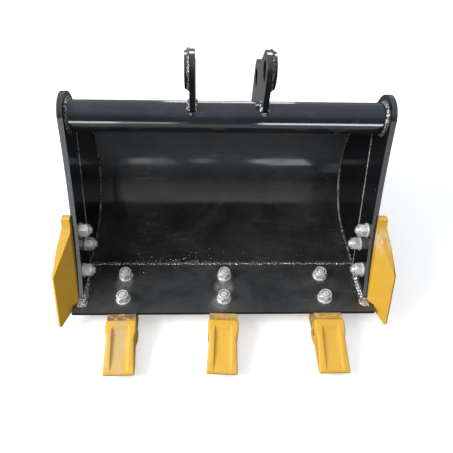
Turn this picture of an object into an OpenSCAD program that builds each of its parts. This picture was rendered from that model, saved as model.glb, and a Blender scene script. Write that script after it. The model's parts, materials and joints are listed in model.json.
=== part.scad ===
// Bolt-on tooth bucket for a mini excavator.
// It is drawn with the cutting edge flat: X across the bucket, Y from the front edge to the back,
// Z up from the top face of the cutting edge. place() then leans it back onto its teeth and its
// round back, as it stands on a floor, and puts the origin on the arm pin's axis.

/* [Bucket body] */
// Width over the outer faces of the side plates
bucket_w = 600; // [560:10:700]
// Thickness of each side plate
side_t = 6; // [5:1:8]
// Thickness of the reinforcing bar on the inner face of each side plate
bar_t = 4; // [3:1:6]
// Distance from the front edge's chord to the back edge of the reinforcing bar
bar_w = 80; // [72:1:90]
// Radius of the round head of each side plate, about the torque tube
lobe_r = 43; // [38:1:50]
// Distance from the front of the cutting edge to the foot of a side plate's front edge
side_foot = 30; // [24:1:36]
// How far the side plates' front edge is hollowed between its ends
front_hollow = 11; // [6:1:14]
// Thickness of the wrapper, the curved floor and back
wrap_t = 6; // [5:1:8]
// Outer radius of the wrapper
wrap_r = 150; // [140:1:155]
// Distance from the front of the cutting edge to the centre of the wrapper's curve
back_y = 227; // [220:1:235]

/* [Cutting edge] */
// Thickness of the cutting edge
lip_t = 12; // [10:1:14]
// Distance from its front to the weld along its back
lip_depth = 128; // [124:1:132]
// How far it sticks out beyond each side plate
lip_overhang = 10; // [4:1:12]

/* [Torque tube] */
// Outer diameter of the tube
tube_d = 57; // [54:1:60]
// Wall of the tube
tube_wall = 5; // [3:1:8]
// Height of the tube's centre above the cutting edge
tube_z = 308; // [300:1:316]

/* [Ears] */
// Gap between the two ears
ear_gap = 120; // [100:2:140]
// Thickness of an ear
ear_t = 10; // [8:1:16]
// Diameter of the pins that the ears take
pin_d = 35; // [30:1:36]
// Radius of an ear about each pin hole
ear_r = 34; // [32:1:36]
// Outer diameter of the boss around the arm pin
boss_d = 63; // [60:1:68]
// Thickness of the boss
boss_t = 8; // [6:1:14]

/* [Teeth] */
// Distance between neighbouring teeth
tooth_pitch = 210; // [190:5:225]
// Angles that the left, centre and right tooth sit off straight, from the play in their bolt holes
tooth_set = [1, -3, 0]; // [-3:0.5:3]
// Width of an adapter and of the back of a point
tooth_w = 57; // [56:1:64]
// Width of a point over its two pin eyes
eye_w = 61; // [60:1:68]
// Width of a point at its tip
tip_w = 61; // [56:1:64]
// Reach of the tip in front of the cutting edge
tip_reach = 117; // [110:1:125]
// Thickness of an adapter's shank
shank_t = 14; // [12:1:16]
// Diameter of the pin that holds a point
tooth_pin_d = 14; // [12:1:16]

/* [Side cutters] */
// Thickness of the part bolted to the side plate
cutter_t = 16; // [14:1:18]
// Width of the flared wing
wing_w = 50; // [44:1:54]
// Angle between the wing and the side plate
wing_flare = 45; // [40:1:50]
// Length of the cutter along the front edge
cutter_len = 180; // [176:1:186]

/* [Fasteners] */
// Thread diameter of every bolt
bolt_d = 16; // [14:1:16]
// Width across the flats of a nut or bolt head
nut_af = 24; // [22:1:24]

/* [Hidden] */
$fn = 96;

black = [0.05, 0.05, 0.055];
yellow = [0.93, 0.67, 0.13];
zinc = [0.78, 0.79, 0.80];
nylon = [0.20, 0.35, 0.75];

inner_w = bucket_w - 2 * side_t;      // between the side plates
bar_face = inner_w / 2 - bar_t;       // inner face of a reinforcing bar
tube_r = tube_d / 2;
tube_c = [back_y, tube_z];            // side view centres, as [Y, Z]
back_c = [back_y, wrap_r - lip_t];
centre_gap = tube_z - back_c.y;       // from the wrapper's centre up to the tube's

// Front edge: a chord from the foot, just touching the round head, and the arc hollowed behind it.
foot = [side_foot, 0];
foot_to_tube = norm(tube_c - foot);
chord = sqrt(pow(foot_to_tube, 2) - pow(lobe_r, 2));
chord_a = atan2(tube_z, back_y - side_foot) + asin(lobe_r / foot_to_tube);
chord_top = foot + chord * [cos(chord_a), sin(chord_a)];
hollow_r = (pow(chord, 2) / 4 + pow(front_hollow, 2)) / (2 * front_hollow);
hollow_c = (foot + chord_top) / 2 + (hollow_r - front_hollow) * [-sin(chord_a), cos(chord_a)];

// Back of the side plates: the line that touches the wrapper's circle and the round head.
back_a = asin((wrap_r - lobe_r) / centre_gap);
back_n = [cos(back_a), sin(back_a)];

// Wrapper: its round part ends where the flat part heads for the tube's centre.
wrap_mid_r = wrap_r - wrap_t / 2;
wrap_end_a = asin(wrap_mid_r / centre_gap);
wrap_flat = sqrt(pow(centre_gap, 2) - pow(wrap_mid_r, 2));
wrap_end_n = [cos(wrap_end_a), sin(wrap_end_a)];
wrap_end_dir = [-sin(wrap_end_a), cos(wrap_end_a)];

// Ears, in side view.
arm_pin = [239, 392];
link_pin = [334, 330];
ear_hip = [378, 240];
ear_toe = [370, 160];
saddle_fall = 14;                     // slope of the ear's top behind the saddle
saddle_rise = 46;                     // slope of the ear's top in front of it
saddle_r = 24;
rise_n = [sin(saddle_rise), cos(saddle_rise)];
fall_n = [sin(saddle_fall), cos(saddle_fall)];
saddle = meet(rise_n, rise_n * arm_pin + ear_r, fall_n, fall_n * link_pin + ear_r);
ear_mid_x = ear_gap / 2 + ear_t / 2;
boss_mid_x = ear_gap / 2 + ear_t + boss_t / 2;

// Teeth, in side view.
bolt_y = [33, 92];
adapter_back = 118;
adapter_step = -3;                    // top of the adapter in front of the cutting edge
heel_y = -16;
heel_z = -45;
nose_tip = -70;
nose_w = 42;
socket_gap = 0.5;
pin_y = -34;
pin_z = -25;
lock_t = 5;
lock_r = 10;
channel = [-38, -5.5];                // where the channel down a point starts
channel_fall = 17.8;

// Side cutters: places along the chord and behind it.
cutter_bolts = [[144, -30], [103, -58], [58, -24]];
wing_inset = 3;                       // the wing's inner face starts this far inside its plate
ridge = [70, 158];                    // where the bevelled top edge starts and ends

// Fasteners.
shank_r = bolt_d / 2 - 0.1;
hole_r = bolt_d / 2 + 0.75;
nut_r = nut_af / 2 / cos(30);
nut_h = 12;
collar_h = 4;
washer_t = 3;
washer_r = 15;
head_h = 10;
bolt_end = 5;                         // bolt end beyond the nut
insert_r = 10;
plow_head_r = 14.5;
plow_head_h = 7;

// Lean: the line under the points' heels that touches the wrapper's circle lies on the floor.
heel = [heel_y, heel_z];
heel_to_back = back_c - heel;
lean = atan2(heel_to_back.y, heel_to_back.x) - asin(wrap_r / norm(heel_to_back));

// Where the lines n1 * p = k1 and n2 * p = k2 cross.
function meet(n1, k1, n2, k2) =
    [k1 * n2.y - k2 * n1.y, n1.x * k2 - n2.x * k1] / (n1.x * n2.y - n2.x * n1.y);

module place()
    rotate([-lean, 0, 0])
        translate([0, -arm_pin.x, -arm_pin.y])
            children();

// Extrudes a side view, drawn as [Y, Z], to a width about a place across the bucket.
module slab(width, at = 0)
    translate([at, 0, 0])
        rotate([90, 0, 90])
            linear_extrude(height = width, center = true)
                children();

module side_view()
    difference() {
        union() {
            translate(back_c) circle(r = wrap_r);
            translate(tube_c) circle(r = lobe_r);
            polygon([foot, [lip_depth, 0], [lip_depth, -lip_t], [back_y, -lip_t], back_c,
                     back_c + wrap_r * back_n, tube_c + lobe_r * back_n, tube_c, chord_top]);
        }
        translate(hollow_c) circle(r = hollow_r, $fn = 360);
    }

module wrapper_view()
    difference() {
        union() {
            translate([lip_depth, -lip_t]) square([back_y - lip_depth, wrap_t]);
            intersection() {
                translate(back_c)
                    difference() {
                        circle(r = wrap_r);
                        circle(r = wrap_r - wrap_t);
                    }
                translate(back_c)
                    polygon([[0, 0], [0, -2 * wrap_r], [2 * wrap_r, -2 * wrap_r],
                             2 * wrap_r * [1, tan(wrap_end_a)]]);
            }
            translate(back_c)
                rotate(wrap_end_a)
                    translate([wrap_r - wrap_t, 0])
                        square([wrap_t, wrap_flat - tube_r / 2]);
        }
        translate(tube_c) circle(r = tube_r);
    }

module side_plate(side)
    color(black)
        place()
            difference() {
                slab(side_t, side * (bucket_w - side_t) / 2) side_view();
                cutter_holes(side);
            }

module side_bar(side)
    color(black) place()
        difference() {
            slab(bar_t, side * (inner_w - bar_t) / 2)
                difference() {
                    intersection() {
                        side_view();
                        union() {
                            translate(foot)
                                rotate(chord_a)
                                    translate([-bar_w, -bar_w])
                                        square([bar_w + chord, bar_w]);
                            translate(tube_c) circle(r = lobe_r);
                        }
                        translate([-bar_w, 0]) square([2 * back_y, 2 * tube_z]);
                    }
                    translate(tube_c) circle(r = tube_r);
                    wrapper_view();
                }
            cutter_holes(side);
        }

module torque_tube()
    color(black) place()
        slab(inner_w)
            translate(tube_c)
                difference() {
                    circle(r = tube_r);
                    circle(r = tube_r - tube_wall);
                }

module wrapper()
    color(black) place() slab(inner_w) wrapper_view();

module cutting_edge()
    color(black) place()
        difference() {
            slab(bucket_w + 2 * lip_overhang)
                polygon([[0, -1], [1, 0], [lip_depth, 0], [lip_depth, -lip_t], [4, -lip_t], [0, -lip_t + 4]]);
            adapter_holes();
        }

// What an ear stands on: the tube, the wrapper's circle and its flat part.
module ear_seat() {
    outer_end = back_c + wrap_r * wrap_end_n;
    translate(tube_c) circle(r = tube_r);
    translate(back_c) circle(r = wrap_r);
    polygon([back_c, outer_end, outer_end + (wrap_flat - tube_r / 2) * wrap_end_dir, tube_c]);
}

module ear_view() {
    saddle_cut = saddle_r * tan((saddle_rise - saddle_fall) / 2);
    up_front = saddle + saddle_cut * [-rise_n.y, rise_n.x];
    down_back = saddle + saddle_cut * [fall_n.y, -fall_n.x];
    difference() {
        union() {
            translate(arm_pin) circle(r = ear_r);
            translate(link_pin) circle(r = ear_r);
            polygon([arm_pin - [ear_r, 0], [back_y - tube_r * 0.7, tube_z + tube_r * 0.5],
                     back_c + [0, wrap_r / 2], ear_toe, ear_hip,
                     link_pin + [ear_r, 0], link_pin + ear_r * fall_n, down_back, up_front,
                     arm_pin + ear_r * rise_n]);
        }
        translate(up_front + saddle_r * rise_n) circle(r = saddle_r);
        ear_seat();
        for (pin = [arm_pin, link_pin])
            translate(pin) circle(d = pin_d);
    }
}

module ear(side)
    color(black) place() slab(ear_t, side * ear_mid_x) ear_view();

module arm_boss(side)
    color(black) place()
        slab(boss_t, side * boss_mid_x)
            translate(arm_pin)
                difference() {
                    circle(d = boss_d);
                    circle(d = pin_d);
                }

// Moves to a tooth, turned by its set about the middle of its two bolts.
module at_tooth(tooth) {
    turn_y = (bolt_y[0] + bolt_y[1]) / 2;
    translate([tooth * tooth_pitch, turn_y, 0])
        rotate([0, 0, tooth_set[tooth + 1]])
            translate([0, -turn_y, 0])
                children();
}

// Bolt holes through the cutting edge and the adapters.
module adapter_holes()
    for (tooth = [-1:1], y = bolt_y)
        at_tooth(tooth)
            translate([0, y, -lip_t - shank_t - 1])
                cylinder(r = hole_r, h = lip_t + shank_t + 2);

// Moves to a bolt hole of a side cutter: Z runs outwards, from the bar's inner face.
module at_cutter_bolts(side)
    for (spot = cutter_bolts)
        mirror([side < 0 ? 1 : 0, 0, 0])
            translate([bar_face, foot.x, foot.y])
                rotate([chord_a, 0, 0])
                    rotate([90, 0, 90])
                        translate(spot)
                            children();

module cutter_holes(side)
    at_cutter_bolts(side)
        translate([0, 0, -1])
            cylinder(r = hole_r, h = bar_t + side_t + cutter_t + 2);

module tooth_adapter(tooth)
    color(yellow) place()
        difference() {
            at_tooth(tooth)
                difference() {
                    union() {
                        slab(tooth_w)
                            polygon([[adapter_back, -lip_t], [-0.5, -lip_t], [-0.5, adapter_step],
                                     [heel_y + 2, adapter_step], [heel_y, adapter_step - 4],
                                     [heel_y, heel_z + 6], [heel_y + 4, heel_z + 4], [10, heel_z + 4],
                                     [18, -lip_t - shank_t], [adapter_back - 8, -lip_t - shank_t],
                                     [adapter_back, -lip_t - 6]]);
                        adapter_nose(0);
                    }
                    translate([0, pin_y, pin_z])
                        rotate([0, 90, 0]) {
                            cylinder(r = tooth_pin_d / 2 + 0.2, h = tooth_w, center = true);
                            translate([0, 0, -nose_w / 2 - 1])
                                cylinder(r = lock_r + 0.2, h = lock_t + 1);
                        }
                }
            place_plow_bolts() plow_hole();
        }

// The wedge that a point slides onto, and, grown by a gap, the point's socket.
module adapter_nose(grow)
    slab(nose_w + 2 * grow)
        polygon([[heel_y + 1, adapter_step - 6 + grow], [nose_tip + 6, -22 + grow],
                 [nose_tip - grow, -25 + grow], [nose_tip - grow, -31 - grow],
                 [nose_tip + 6, -34 - grow], [heel_y + 1, heel_z + 8 - grow]]);

// Moves to the foot of each plow bolt: Z runs up from the adapters' bottom face.
module place_plow_bolts()
    for (tooth = [-1:1], y = bolt_y)
        at_tooth(tooth)
            translate([0, y, -lip_t - shank_t])
                children();

module plow_hole() {
    translate([0, 0, -0.01])
        cylinder(r1 = plow_head_r + 0.3, r2 = hole_r, h = plow_head_h);
    translate([0, 0, -1])
        cylinder(r = hole_r, h = shank_t + 2);
}

module tooth_point(tooth)
    color(yellow) place()
        at_tooth(tooth)
            difference() {
                intersection() {
                    slab(eye_w)
                        polygon([[heel_y, -2], [heel_y - 2, 0], [heel_y - 20, -2], [-tip_reach, -32],
                                 [-tip_reach, -38], [-tip_reach + 30, -43], [heel_y - 20, heel_z - 1],
                                 [heel_y, heel_z]]);
                    translate([0, 0, heel_z - 5])
                        linear_extrude(height = 60)
                            polygon([[-tooth_w / 2, heel_y], [-eye_w / 2, heel_y - 4],
                                     [-eye_w / 2, pin_y - 6], [-tooth_w / 2 + 1, pin_y - 18],
                                     [-tip_w / 2, -tip_reach], [tip_w / 2, -tip_reach],
                                     [tooth_w / 2 - 1, pin_y - 18], [eye_w / 2, pin_y - 6],
                                     [eye_w / 2, heel_y - 4], [tooth_w / 2, heel_y]]);
                }
                adapter_nose(socket_gap);
                translate([0, pin_y, pin_z])
                    rotate([0, 90, 0])
                        cylinder(r = tooth_pin_d / 2 + 0.2, h = eye_w + 2, center = true);
                translate([-tooth_w * 0.3, channel.x, channel.y])
                    rotate([channel_fall, 0, 0])
                        translate([0, -tip_reach, 0])
                            cube([tooth_w * 0.6, tip_reach, tooth_w]);
            }

module tooth_pins()
    color(zinc) place()
        for (tooth = [-1:1])
            at_tooth(tooth)
                translate([0, pin_y, pin_z])
                    rotate([0, 90, 0])
                        cylinder(d = tooth_pin_d, h = eye_w - 2, center = true);

module tooth_pin_locks()
    color(nylon) place()
        for (tooth = [-1:1])
            at_tooth(tooth)
                translate([-nose_w / 2, pin_y, pin_z])
                    rotate([0, 90, 0])
                        difference() {
                            cylinder(r = lock_r, h = lock_t);
                            translate([0, 0, -1])
                                cylinder(r = tooth_pin_d / 2 + 0.1, h = lock_t + 2);
                        }

// Fasteners stand on Z = 0, the face that a washer or a bolt head bears on.
module washer()
    difference() {
        cylinder(r = washer_r, h = washer_t);
        translate([0, 0, -1]) cylinder(r = hole_r, h = washer_t + 2);
    }

module lock_nut()
    difference() {
        union() {
            intersection() {
                cylinder(r = nut_r, h = nut_h, $fn = 6);
                cylinder(r1 = nut_af / 2 + 0.6, r2 = nut_af / 2 + 7, h = nut_h);
                cylinder(r1 = nut_af / 2 + 7, r2 = nut_af / 2 + 0.6, h = nut_h);
            }
            cylinder(r = insert_r + 1.4, h = nut_h + collar_h - 1);
            translate([0, 0, nut_h + collar_h - 1])
                cylinder(r1 = insert_r + 1.4, r2 = insert_r + 0.4, h = 1);
        }
        translate([0, 0, -1]) cylinder(d = bolt_d, h = nut_h + collar_h + 2);
        translate([0, 0, nut_h]) cylinder(r = insert_r, h = collar_h + 1);
    }

module nut_insert()
    translate([0, 0, nut_h])
        difference() {
            cylinder(r = insert_r - 0.05, h = collar_h - 0.6);
            translate([0, 0, -1]) cylinder(r = shank_r + 0.1, h = collar_h + 2);
        }

module threaded_shank(from, to) {
    translate([0, 0, from]) cylinder(r = shank_r, h = to - from - 1.5);
    translate([0, 0, to - 1.5]) cylinder(r1 = shank_r, r2 = shank_r - 1.5, h = 1.5);
}

module plow_bolt() {
    cylinder(r1 = plow_head_r, r2 = bolt_d / 2 + 0.5, h = plow_head_h);
    threaded_shank(plow_head_h - 0.5, shank_t + lip_t + washer_t + nut_h + collar_h + bolt_end);
}

// A hexagon bolt from outside, drawn inwards: Z = 0 is the cutter's outer face.
module hex_bolt() {
    translate([0, 0, -head_h])
        intersection() {
            cylinder(r = nut_r, h = head_h, $fn = 6);
            cylinder(r1 = nut_af / 2 + 0.2, r2 = nut_af / 2 + 7, h = head_h);
        }
    threaded_shank(-0.5, cutter_t + side_t + bar_t + washer_t + nut_h + collar_h + bolt_end);
}

// Moves onto the top face of the cutting edge at each plow bolt.
module on_lip(above)
    place()
        for (tooth = [-1:1], y = bolt_y)
            at_tooth(tooth)
                translate([0, y, above])
                    rotate([0, 0, 12 * tooth + 0.4 * y])
                        children();

// Moves onto the inner face of each reinforcing bar, with Z running into the bucket.
module on_bars(above)
    place()
        for (side = [-1, 1])
            at_cutter_bolts(side)
                rotate([180, 0, 0])
                    translate([0, 0, above])
                        children();

module adapter_bolts()
    color(zinc) place() place_plow_bolts() plow_bolt();

module adapter_washers() color(zinc) on_lip(0) washer();

module adapter_nuts() color(zinc) on_lip(washer_t) lock_nut();

module adapter_nut_inserts() color(nylon) on_lip(washer_t) nut_insert();

module side_cutter_bolts() color(zinc) on_bars(-bar_t - side_t - cutter_t) hex_bolt();

module side_cutter_washers() color(zinc) on_bars(0) washer();

module side_cutter_nuts() color(zinc) on_bars(washer_t) lock_nut();

module side_cutter_nut_inserts() color(nylon) on_bars(washer_t) nut_insert();

// The bolted part: drawn along the chord, with negative Y behind it.
module cutter_base_view() {
    for (spot = cutter_bolts)
        translate(spot) circle(r = 22);
    polygon([[6, 0], [cutter_len - 4, 0], [cutter_len, -4], [cutter_len, -18], [161, -44],
             [117, -75], [90, -76], [44, -41], [18, -22]]);
}

// The wing's outline in its own plane: X along the chord, Y away from the side plate.
module wing_view()
    polygon([[6, -10], [4, 0], [-42, wing_w - 3], [-40, wing_w], [ridge[0], wing_w],
             [130, wing_w * 0.56], [168, wing_w * 0.2], [cutter_len - 3, 0], [cutter_len - 3, -10]]);

module side_cutter_right()
    color(yellow) place()
        difference() {
            translate([bucket_w / 2, foot.x, foot.y])
                rotate([chord_a, 0, 0])
                    rotate([90, 0, 90]) {
                        linear_extrude(height = cutter_t) cutter_base_view();
                        translate([0, 0, -wing_inset])
                            rotate([wing_flare, 0, 0])
                                wing();
                    }
            // Nothing of it reaches inwards past the side plate's outer face.
            slab(4 * bar_t, bucket_w / 2 - 2 * bar_t)
                translate([-100, -100]) square(500);
            lip_notch();
            cutter_holes(1);
        }

// Clearance for the end of the cutting edge.
module lip_notch()
    slab(bucket_w + 2 * lip_overhang + 2)
        translate([-1, -lip_t - 1]) square([lip_depth, lip_t + 2]);

// The wing tapers from its root to its outer edge; its top edge is bevelled on the inner face.
module wing() {
    bevel = 49;
    ridge_a = atan2(-wing_w, ridge[1] - ridge[0]);
    difference() {
        intersection() {
            linear_extrude(height = 2 * cutter_t) wing_view();
            translate([cutter_len / 2, 0, 0])
                slab(2 * cutter_len)
                    polygon([[-10, 0], [wing_w, 0], [wing_w, 7], [-10, cutter_t + 3]]);
        }
        translate([ridge[0], wing_w, 0])
            rotate([0, 0, ridge_a])
                rotate([bevel, 0, 0])
                    translate([-20, -5, -60])
                        cube([180, 80, 60]);
    }
}

module side_cutter_left()
    color(yellow) mirror([1, 0, 0]) side_cutter_right();

side_plate(-1);  // side_plate_left
side_plate(1);  // side_plate_right
side_bar(-1);  // side_bar_left
side_bar(1);  // side_bar_right
torque_tube();
wrapper();
cutting_edge();
ear(-1);  // ear_left
ear(1);  // ear_right
arm_boss(-1);  // arm_boss_left
arm_boss(1);  // arm_boss_right
tooth_adapter(-1);  // tooth_adapter_left
tooth_adapter(0);  // tooth_adapter_centre
tooth_adapter(1);  // tooth_adapter_right
tooth_point(-1);  // tooth_point_left
tooth_point(0);  // tooth_point_centre
tooth_point(1);  // tooth_point_right
tooth_pins();
tooth_pin_locks();
adapter_bolts();
adapter_washers();
adapter_nuts();
adapter_nut_inserts();
side_cutter_left();
side_cutter_right();
side_cutter_bolts();
side_cutter_washers();
side_cutter_nuts();
side_cutter_nut_inserts();
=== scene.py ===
import json
import math
import random

import bmesh
import bpy
from mathutils import Matrix, Vector, noise


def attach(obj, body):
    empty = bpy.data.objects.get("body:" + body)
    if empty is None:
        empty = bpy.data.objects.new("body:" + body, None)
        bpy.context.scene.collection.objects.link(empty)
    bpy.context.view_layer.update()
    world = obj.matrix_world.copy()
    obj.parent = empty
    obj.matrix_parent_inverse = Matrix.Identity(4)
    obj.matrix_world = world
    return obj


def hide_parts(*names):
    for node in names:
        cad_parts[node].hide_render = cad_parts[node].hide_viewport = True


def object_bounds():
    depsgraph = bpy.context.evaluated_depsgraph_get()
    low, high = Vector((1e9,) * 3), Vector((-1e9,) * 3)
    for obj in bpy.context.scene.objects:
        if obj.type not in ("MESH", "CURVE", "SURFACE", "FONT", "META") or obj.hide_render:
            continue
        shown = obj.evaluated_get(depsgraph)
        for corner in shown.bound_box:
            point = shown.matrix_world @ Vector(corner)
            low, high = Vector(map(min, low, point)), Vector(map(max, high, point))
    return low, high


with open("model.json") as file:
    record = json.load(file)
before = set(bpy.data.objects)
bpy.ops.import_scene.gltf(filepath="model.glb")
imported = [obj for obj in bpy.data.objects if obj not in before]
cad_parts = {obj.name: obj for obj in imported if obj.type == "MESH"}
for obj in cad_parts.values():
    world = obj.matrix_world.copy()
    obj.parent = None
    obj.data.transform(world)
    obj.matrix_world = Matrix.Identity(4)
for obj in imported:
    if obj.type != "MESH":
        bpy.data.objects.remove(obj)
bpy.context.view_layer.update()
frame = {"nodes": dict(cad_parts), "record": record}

nodes = frame["nodes"]

# Sizes from the CAD model, in millimetres. (u, v) is the side view with the cutting edge flat:
# u runs back from the front edge and v up from the edge's top face. The chord is the straight front
# edge of a side plate, which starts at FOOT. CUTTER_BOLTS has places (along the chord, back from it).
ARM_PIN = (239.0, 392.0)
LINK_PIN = (334.0, 330.0)
TUBE = (227.0, 308.0)
TUBE_R = 28.5
BACK = (227.0, 138.0)
WRAP_R, WRAP_T = 150.0, 6.0
PLATE_IN, PLATE_OUT, BAR_IN = 294.0, 300.0, 290.0
LOBE_R = 43.0
FOOT = (30.0, 0.0)
LIP_T, LIP_BACK = 12.0, 128.0
BAR_W = 80.0
EAR_IN, EAR_OUT = 60.0, 70.0
BOSS_R = 31.5
PITCH, SET, BOLT_Y = 210.0, (1.0, -3.0, 0.0), (33.0, 92.0)
MID_BOLTS = sum(BOLT_Y) / 2
CUTTER_T, CUTTER_BOLTS = 16.0, ((144.0, 30.0), (103.0, 58.0), (58.0, 24.0))
FLATS, WASHER_T = 24.0, 3.0
THREAD_R, CORE_R, THREAD_STEP = 7.9, 6.95, 2.0
POINT_PIN, PIN_HOLE_R = (-34.0, -25.0), 7.2

foot_to_tube = math.hypot(TUBE[0] - FOOT[0], TUBE[1] - FOOT[1])
CHORD_A = math.atan2(TUBE[1], TUBE[0] - FOOT[0]) + math.asin(LOBE_R / foot_to_tube)
FLAT_A = math.asin((WRAP_R - WRAP_T / 2) / (TUBE[1] - BACK[1]))
FLAT_LEN = math.sqrt((TUBE[1] - BACK[1]) ** 2 - (WRAP_R - WRAP_T / 2) ** 2)

# The bucket leans back onto its teeth and round back: the link pin's place in the record gives the
# angle.
link = next(m["pos_m"] for m in frame["record"]["mounts"] if m["name"] == "link_pin")
LEAN = math.atan2(LINK_PIN[1] - ARM_PIN[1], LINK_PIN[0] - ARM_PIN[0]) - math.atan2(link[2], link[1])
LEANED = Matrix.Rotation(-LEAN, 4, "X") @ Matrix.Translation((0, -ARM_PIN[0], -ARM_PIN[1]))
PLACE = Matrix.Scale(0.001, 4) @ LEANED

# Directions in the upright bucket: along and out of the wrapper's flat, along and back from the chord.
ACROSS, BACKWARD, UP = Vector((1, 0, 0)), Vector((0, 1, 0)), Vector((0, 0, 1))
flat_d = Vector((0, -math.sin(FLAT_A), math.cos(FLAT_A)))
flat_n = Vector((0, math.cos(FLAT_A), math.sin(FLAT_A)))
chord_d = Vector((0, math.cos(CHORD_A), math.sin(CHORD_A)))
chord_n = Vector((0, math.sin(CHORD_A), -math.cos(CHORD_A)))


def at(x, u, v):
    """A point of the upright bucket, in millimetres, as it stands in the row frame, in metres."""
    return PLACE @ Vector((x, u, v))


def on_plate(x, along, back):
    """A point of the upright bucket, given along a side plate's chord and back from it."""
    return Vector((x, *FOOT)) + chord_d * along + chord_n * back


# ------------------------------------------------------------------ materials

def node_material(name):
    """A material with only a Principled shader: itself, its tree, the shader and the object's place."""
    material = bpy.data.materials.new(name)
    material.use_nodes = True
    tree = material.node_tree
    tree.nodes.clear()
    out = tree.nodes.new("ShaderNodeOutputMaterial")
    shader = tree.nodes.new("ShaderNodeBsdfPrincipled")
    tree.links.new(shader.outputs[0], out.inputs["Surface"])
    place = tree.nodes.new("ShaderNodeTexCoord").outputs["Object"]
    return material, tree, shader, place


def put(tree, kind, inputs=(), **settings):
    """A node with its settings and its inputs, each a number, a colour or another node's socket."""
    node = tree.nodes.new(kind)
    for key, value in settings.items():
        setattr(node, key, value)
    for key, value in dict(inputs).items():
        if isinstance(value, bpy.types.NodeSocket):
            tree.links.new(value, node.inputs[key])
        else:
            node.inputs[key].default_value = value
    return node


def noise_at(tree, place, scale, detail=3.0, rough=0.55, stretch=None, distortion=0.0):
    if stretch:
        place = put(tree, "ShaderNodeMapping", {"Vector": place, "Scale": stretch}).outputs[0]
    inputs = {"Vector": place, "Scale": scale, "Detail": detail, "Roughness": rough,
              "Distortion": distortion}
    return put(tree, "ShaderNodeTexNoise", inputs).outputs[0]


def mix(tree, factor, a, b):
    """Colour a, or colour b where the factor is 1."""
    node = tree.nodes.new("ShaderNodeMix")
    node.data_type = "RGBA"
    for key, value in ((0, factor), (6, a), (7, b)):
        if isinstance(value, bpy.types.NodeSocket):
            tree.links.new(value, node.inputs[key])
        else:
            node.inputs[key].default_value = value if key == 0 else (*value, 1)
    return node.outputs[2]


def calc(tree, operation, a, b=0.0, clamp=False):
    return put(tree, "ShaderNodeMath", {0: a, 1: b}, operation=operation, use_clamp=clamp).outputs[0]


def remap(tree, value, low, high, to_low=0.0, to_high=1.0):
    inputs = {"Value": value, "From Min": low, "From Max": high, "To Min": to_low, "To Max": to_high}
    return put(tree, "ShaderNodeMapRange", inputs).outputs[0]


def part_of(tree, vector, axis):
    """The X, Y or Z of a vector, for axis 0, 1 or 2."""
    return put(tree, "ShaderNodeSeparateXYZ", {0: vector}).outputs[axis]


def facing(tree, axis):
    """How far a surface faces along X, Y or Z, from -1 to 1."""
    return part_of(tree, put(tree, "ShaderNodeNewGeometry").outputs["Normal"], axis)


def upward(tree):
    """How far a surface faces up, from 0 to 1."""
    return remap(tree, facing(tree, 2), 0.1, 0.9)


def distance_to(tree, place, spot):
    """How far a place is from a spot, in metres."""
    node = put(tree, "ShaderNodeVectorMath", {0: place, 1: tuple(spot)}, operation="DISTANCE")
    return node.outputs["Value"]


def bumps(tree, shader, layers):
    """Stacks (height socket, distance in metres, strength) as bump on the shader."""
    last = None
    for height, distance, strength in layers:
        inputs = {"Height": height, "Distance": distance, "Strength": strength}
        if last:
            inputs["Normal"] = last
        last = put(tree, "ShaderNodeBump", inputs).outputs[0]
    tree.links.new(last, shader.inputs["Normal"])


def scratches(tree, place, scale, thin, turn, seed):
    """Thin, broken, slightly curved lines that all run much the same way."""
    inputs = {"Vector": place, "Location": (seed, seed * 0.7, 0), "Rotation": turn, "Scale": (1, 14, 14)}
    lines = put(tree, "ShaderNodeMapping", inputs).outputs[0]
    fine = noise_at(tree, lines, scale, 2.0, 0.4, distortion=0.25)
    edge = calc(tree, "ABSOLUTE", calc(tree, "SUBTRACT", fine, 0.5))
    line = remap(tree, edge, thin, 0.0)
    broken = remap(tree, noise_at(tree, place, scale * 0.9 + seed, 2.0), 0.55, 0.68)
    return calc(tree, "MULTIPLY", line, broken)


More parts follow.
